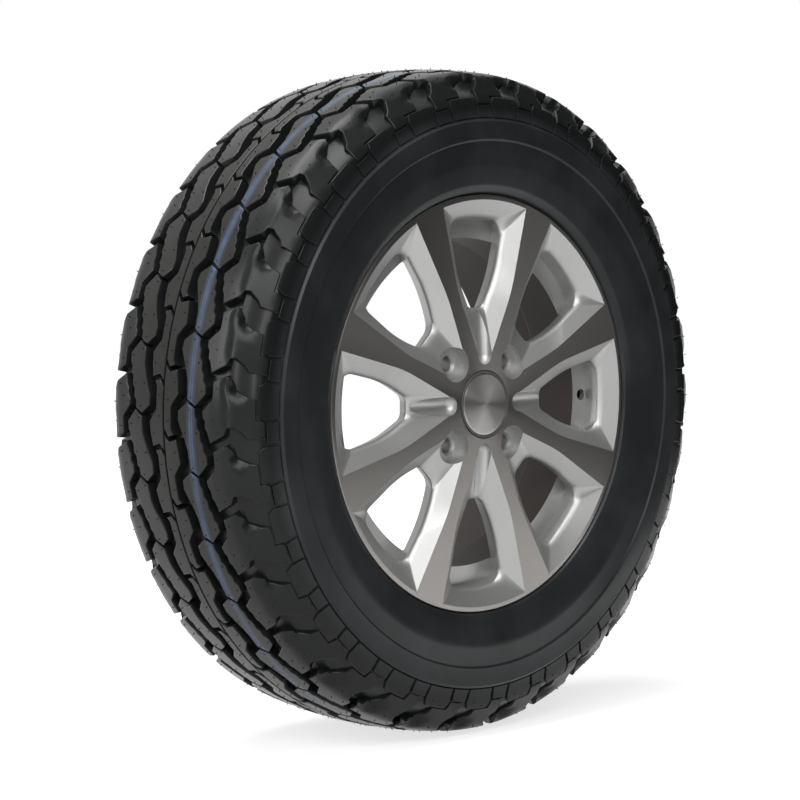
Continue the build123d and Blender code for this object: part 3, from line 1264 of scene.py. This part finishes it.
@dataclass
class Wheel:
    """The cast wheel: a turned body with its pockets cut out and its edges eased.

    The section holds (radius, y, corner radius), closed.  Tilts are the y parts of faces' normals.
    """

    segments: int = 288
    corner_steps: int = 3
    edge: float = 0.7
    edge_segments: int = 2
    sharp_angle: float = 28.0
    face_margin: float = 0.3
    face_tilt: float = -0.6
    barrel_start: float = -58.0
    barrel_radii: tuple[float, float] = (150.0, 183.0)
    back_end: float = -50.0
    back_radius: float = 80.0
    back_tilt: float = 0.5
    section: tuple[tuple[float, float, float], ...] = (
        (33.55, -52.0, 0.6), (78.0, -52.0, 1.0), (78.0, -66.0, 2.0), (165.0, -66.0, 1.0),
        (165.0, -12.0, 4.0), (182.1, 4.0, 6.0), (182.1, 82.55, 4.0), (196.4, 93.55, 1.5),
        (207.4, 93.55, 1.5), (207.4, 89.9, 1.0), (198.1, 82.55, 3.0), (190.1, 82.55, 1.0),
        (187.8, 56.0, 3.0), (187.8, 4.0, 6.0), (171.0, -12.0, 4.0), (171.0, -56.0, 2.0),
        (187.8, -56.0, 2.0), (190.1, -82.55, 1.0), (198.1, -82.55, 3.0), (207.4, -89.9, 1.0),
        (207.4, -93.55, 1.2), (34.2, -93.55, 0.5), (34.2, -86.55, 0.3), (29.0, -86.55, 0.5),
        (29.0, -68.0, 0.3), (32.0, -68.0, 0.3), (32.0, -63.0, 0.2), (33.55, -63.0, 0.2),
    )

    def cast(self, cutters: WheelCutters) -> bpy.types.Object:
        """Turn the wheel's body and cut it.

        Args:
            cutters: what is taken out of it.

        Returns:
            The object.
        """
        outline = rounded(np.array(self.section), self.corner_steps)
        faces = grid_faces(self.segments, len(outline), close_rows=True, close_columns=True)
        blank = make_object("wheel_blank", spin(outline, self.segments), faces.tolist())
        tools = cutters.build()
        for tool in tools:
            cut = blank.modifiers.new(tool.name, "BOOLEAN")
            cut.operation = "DIFFERENCE"
            cut.solver = "EXACT"
            cut.object = tool
        graph = bpy.context.evaluated_depsgraph_get()
        mesh = bpy.data.meshes.new_from_object(blank.evaluated_get(graph))
        for spare in [blank, *tools]:
            bpy.data.objects.remove(spare)
        wheel = bpy.data.objects.new("wheel_casting", mesh)
        bpy.context.scene.collection.objects.link(wheel)
        mesh.name = wheel.name
        return wheel

    def dress(self, wheel: bpy.types.Object, face: float) -> None:
        """Turn the street face bright, paint the rest, and give the barrel's inside and the spokes' backs a
        near-black painted shade.

        Args:
            wheel: the wheel.
            face: distance from the wheel's middle plane to its street face.
        """
        mesh = wheel.data
        mesh.materials.clear()
        slot_materials = {
            WheelFinishAndShade.PAINT: SilverPaint("silver_paint"),
            WheelFinishAndShade.TURNED: TurnedMetal("turned_face"),
            # Painted shade: the barrel's inside and the spokes' backs are coloured near-black brown.
            WheelFinishAndShade.PAINTED_SHADE: EvenColour("painted_shade", (0.012, 0.006, 0.0035), 0.7),
        }
        for slot in WheelFinishAndShade:
            mesh.materials.append(slot_materials[slot].make())
        centre, normal = face_data(mesh)
        radius = np.hypot(centre[:, 0], centre[:, 2])
        y, tilt = centre[:, 1], normal[:, 1]
        inner, outer = self.barrel_radii
        index = np.full(len(mesh.polygons), int(WheelFinishAndShade.PAINT))
        barrel = (y > self.barrel_start) & (radius < outer) & (radius > inner)
        backs = (tilt > self.back_tilt) & (y < self.back_end) & (radius > self.back_radius)
        index[(y < self.face_margin - face) & (tilt < self.face_tilt)] = WheelFinishAndShade.TURNED
        # Painted shade on the barrel's inside and on the spoke faces that look inboard.
        index[barrel | backs] = WheelFinishAndShade.PAINTED_SHADE
        mesh.polygons.foreach_set("material_index", index)

    def ease(self, wheel: bpy.types.Object) -> None:
        """Ease the wheel's edges and even out its shading.

        Args:
            wheel: the wheel.
        """
        smooth(wheel, self.sharp_angle)
        bevel = wheel.modifiers.new("eased edges", "BEVEL")
        bevel.width = self.edge * MM
        bevel.segments = self.edge_segments
        bevel.limit_method = "ANGLE"
        bevel.angle_limit = radians(self.sharp_angle)
        even = wheel.modifiers.new("even shading", "WEIGHTED_NORMAL")
        even.mode = "FACE_AREA"
        even.keep_sharp = True

    def build(self, cutters: WheelCutters) -> bpy.types.Object:
        """Make the wheel's object.

        Args:
            cutters: what is taken out of it.

        Returns:
            The object.
        """
        wheel = self.cast(cutters)
        self.dress(wheel, cutters.face)
        self.ease(wheel)
        return wheel


@dataclass
class CentreCap:
    """The cap: a moulded cup with hooked legs behind it, and a spun disc in its front.

    Distances along the axle count from the wheel's middle plane to the street side.  The roll holds how far
    the points of the disc's rolled edge lie inside its radius and behind the dome's edge.
    """

    radius: float = 33.5
    front: float = 94.55
    floor: float = 93.35
    seat: float = 86.55
    cup_radii: tuple[float, ...] = (0.0, 0.2, 0.5, 0.7, 0.4, 0.0)
    corner_steps: int = 4
    legs: int = 4
    leg_radii: tuple[float, float] = (26.4, 28.6)
    leg_half_width: float = 6.0
    leg_root: float = 0.5
    leg_end: float = 64.1
    leg_steps: int = 7
    hook: float = 1.6
    hook_at: float = 67.6
    disc_radius: float = 30.9
    disc_front: float = 94.95
    disc_room: float = 0.2
    dome: float = 0.9
    dome_margin: float = 0.6
    dome_points: int = 24
    roll: tuple[tuple[float, float], ...] = ((0.15, 0.25), (0.0, 0.7))
    core: float = 0.5
    segments: int = 128
    sharp_angle: float = 35.0

    def leg(self, degrees: float) -> Solid:
        """One hooked leg, a short stretch of a ring.

        Args:
            degrees: its place, clockwise from the top seen from the street.

        Returns:
            Vertices and faces.
        """
        inner, outer = self.leg_radii
        root = -self.seat - self.leg_root
        profile = np.array([
            (inner, root),
            (outer, root),
            (outer, -self.hook_at),
            (outer + self.hook, -self.hook_at),
            (outer, -self.leg_end),
            (inner, -self.leg_end),
        ])
        reach = np.arcsin(self.leg_half_width / outer)
        angles = radians(degrees) + np.linspace(-reach, reach, self.leg_steps)
        return turn(profile, angles), tube_faces(len(angles), len(profile))

    def cup(self) -> bpy.types.Object:
        """Make the moulded cup and its legs.

        Returns:
            The object.
        """
        lip = self.disc_radius + self.disc_room
        points = [
            (self.core, -self.floor),
            (lip, -self.floor),
            (lip, -self.front),
            (self.radius, -self.front),
            (self.radius, -self.seat),
            (self.core, -self.seat),
        ]
        profile = rounded_run(np.column_stack([points, self.cup_radii]), self.corner_steps)
        legs = [self.leg(360.0 * k / self.legs) for k in range(self.legs)]
        cup = joined("cap_cup", [spun_solid(profile, self.segments), *legs])
        cup.data.materials.append(EvenColour("cap_plastic", (0.05, 0.05, 0.05), 0.4).make())
        smooth(cup, self.sharp_angle)
        return cup

    def disc(self) -> bpy.types.Object:
        """Make the spun disc, a shallow dome with a rolled edge.

        The dome falls with the square of the distance from the axle.

        Returns:
            The object.
        """
        out = np.linspace(self.core, self.disc_radius - self.dome_margin, self.dome_points)
        fall = self.dome * (out / self.disc_radius) ** 2
        crown = np.stack([out, fall - self.disc_front], -1)
        dome_edge = -self.disc_front + self.dome
        edge = [(self.disc_radius - inside, dome_edge + behind) for inside, behind in self.roll]
        profile = np.vstack([crown, edge, [(self.core, -self.floor)]])
        disc = make_object("cap_spun_disc", *spun_solid(profile, self.segments))
        disc.data.materials.append(TurnedMetal("spun_disc", (0.42, 0.41, 0.40), 0.34, 0.9).make())
        smooth(disc, self.sharp_angle)
        return disc


# The studio


def background_rays(tree: bpy.types.NodeTree) -> Socket:
    """Tell the rays that show the background, from the camera, a mirror or glass, from those that light.

    Args:
        tree: the node tree of the floor or the world.

    Returns:
        A socket that is 1 for such a ray and 0 for any other.
    """
    path = tree.nodes.new("ShaderNodeLightPath")
    shown = path.outputs["Is Camera Ray"]
    for ray in ("Is Glossy Ray", "Is Transmission Ray"):
        either = tree.nodes.new("ShaderNodeMath")
        either.operation = "MAXIMUM"
        tree.links.new(shown, either.inputs[0])
        tree.links.new(path.outputs[ray], either.inputs[1])
        shown = either.outputs[0]
    return shown


@dataclass
class Studio:
    """Floor, backdrop, lights and camera.

    The floor's glow grows between two distances from the origin, in metres, so the wheel's shadow shows.
    """

    ground: float = -334.0
    distance: float = 2600.0
    azimuth: float = -44.158
    elevation: float = 3.84
    aside: float = -19.3
    above: float = -0.51
    lens: float = 114.63
    sensor: float = 36.0
    clip_start: float = 0.05
    fill: float = 0.14
    fill_colour: Colour = (0.9, 0.92, 0.95)
    floor_half: float = 6000.0
    floor_colour: Colour = (0.5, 0.5, 0.5)
    floor_roughness: float = 0.9
    glow_reach: tuple[float, float] = (0.5, 1.6)
    glow: tuple[float, float] = (0.72, 1.0)
    flag_place: float = 1400.0
    flag_half_width: float = 3000.0
    flag_top: float = 2400.0

    def axes(self) -> tuple[Vector, Vector, Vector]:
        """The camera's own directions.

        Returns:
            Right, up and back.
        """
        a = radians(self.azimuth)
        e = radians(self.elevation)
        back = Vector((sin(a) * cos(e), -cos(a) * cos(e), sin(e)))
        right = Vector((cos(a), sin(a), 0))
        return right, back.cross(right), back

    def camera(self) -> None:
        """Put the camera where the photograph was taken from."""
        right, up, back = self.axes()
        place = (back * self.distance + right * self.aside + up * self.above) * MM
        data = bpy.data.cameras.new("camera")
        data.lens = self.lens
        data.sensor_width = self.sensor
        data.clip_start = self.clip_start
        eye = bpy.data.objects.new("camera", data)
        eye.matrix_world = Matrix.Translation(place) @ Matrix((right, up, back)).transposed().to_4x4()
        bpy.context.scene.collection.objects.link(eye)
        bpy.context.scene.camera = eye

    def lamp(
        self, name: str, place: tuple[float, float, float], size: tuple[float, float], power: float
    ) -> None:
        """Add a soft rectangular light that faces the wheel.

        Args:
            name: its name.
            place: distances to the camera's right, up and back from the wheel, in metres.
            size: its width and height in metres.
            power: its power in watts.
        """
        right, up, back = self.axes()
        spot = right * place[0] + up * place[1] + back * place[2]
        data = bpy.data.lights.new(name, "AREA")
        data.shape = "RECTANGLE"
        data.size, data.size_y = size
        data.energy = power
        lamp = bpy.data.objects.new(name, data)
        lamp.location = spot
        lamp.rotation_euler = spot.to_track_quat("Z", "Y").to_euler()
        bpy.context.scene.collection.objects.link(lamp)

    def lights(self) -> None:
        """Light the wheel softly from above, the front and both sides."""
        self.lamp("top", (-0.5, 2.3, 0.5), (2.4, 1.4), 80.0)
        self.lamp("left", (-2.6, 0.9, 0.9), (0.5, 1.6), 24.0)
        self.lamp("front", (0.2, 1.5, 2.8), (2.4, 1.4), 60.0)
        self.lamp("near_left", (-0.8, 0.35, 2.6), (0.4, 0.9), 9.0)
        self.lamp("low_right", (0.85, -0.28, 0.0), (0.4, 0.08), 0.3)

    def backdrop(self) -> None:
        """A white surround for the camera and for reflections, with a soft grey for the light it gives."""
        world = bpy.data.worlds.new("surround")
        bpy.context.scene.world = world
        world.use_nodes = True
        tree = world.node_tree
        grey = tree.nodes["Background"]
        grey.inputs["Color"].default_value = (*self.fill_colour, 1)
        grey.inputs["Strength"].default_value = self.fill
        white = tree.nodes.new("ShaderNodeBackground")
        white.inputs["Color"].default_value = (*WHITE, 1)
        mix = tree.nodes.new("ShaderNodeMixShader")
        tree.links.new(background_rays(tree), mix.inputs[0])
        tree.links.new(grey.outputs[0], mix.inputs[1])
        tree.links.new(white.outputs[0], mix.inputs[2])
        tree.links.new(mix.outputs[0], tree.nodes["World Output"].inputs["Surface"])

    def flag(self) -> bpy.types.Object:
        """Make the dark card beside the wheel that the turned faces mirror.

        It stands on the floor at the camera's right, and only reflections show it.

        Returns:
            The object.
        """
        right, _, back = (np.array(axis) for axis in self.axes())
        foot = right * self.flag_place
        reach = back * (1, 1, 0) * self.flag_half_width
        places = np.array([foot - reach, foot + reach, foot + reach, foot - reach])
        places[:, 2] = [self.ground, self.ground, self.flag_top, self.flag_top]
        card = make_object("flag", places, [[0, 1, 2, 3]], outward=False)
        card.data.materials.append(EvenColour("flag_cloth", (0.012, 0.012, 0.012), 0.9).make())
        card.visible_camera = False
        card.visible_diffuse = False
        card.visible_shadow = False
        return card

    def floor(self) -> bpy.types.Object:
        """Make the pale floor, which glows for the camera and for reflections so that only the shadow shows.

        Returns:
            The object.
        """
        corners = np.array([(-1, -1), (1, -1), (1, 1), (-1, 1)]) * self.floor_half
        places = np.hstack([corners, np.full((4, 1), self.ground)])
        floor = make_object("floor", places, [[0, 1, 2, 3]], outward=False)
        s = Shader("pale_floor")
        s.set(base_color=self.floor_colour, roughness=self.floor_roughness, specular_ior_level=0.0)
        s.set(emission_color=WHITE)
        away = s.add("ShaderNodeVectorMath", operation="LENGTH")
        s.link(s.place(), away.inputs[0])
        far = s.add("ShaderNodeMapRange")
        s.link(away.outputs["Value"], far.inputs["Value"])
        for key, value in zip(("From Min", "From Max", "To Min", "To Max"), (*self.glow_reach, *self.glow)):
            far.inputs[key].default_value = value
        glow = s.math("MULTIPLY", background_rays(s.tree), far.outputs[0])
        s.link(glow, s.surface.inputs["Emission Strength"])
        floor.data.materials.append(s.material)
        return floor


def show(thing: bpy.types.Object, node: str) -> None:
    """Let a piece stand for a CAD node and report it.

    Args:
        thing: the piece.
        node: the node's name.
    """
    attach(thing, BODY)
    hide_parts(node)
    log.info("%s stands for %s: %d faces", thing.name, node, len(thing.data.polygons))


def main() -> None:
    """Build the assembly and its studio."""
    logging.basicConfig(level=logging.INFO, format="%(message)s")
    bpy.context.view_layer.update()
    show(Tyre().build(), "tyre")
    show(Wheel().build(WheelCutters()), "alloy_wheel")
    cap = CentreCap()
    show(cap.cup(), "centre_cap")
    show(cap.disc(), "cap_disc")
    studio = Studio()
    studio.camera()
    studio.lights()
    studio.backdrop()
    studio.floor()
    studio.flag()
    bpy.context.scene.view_settings.view_transform = "Standard"


if __name__ == "__main__":
    main()
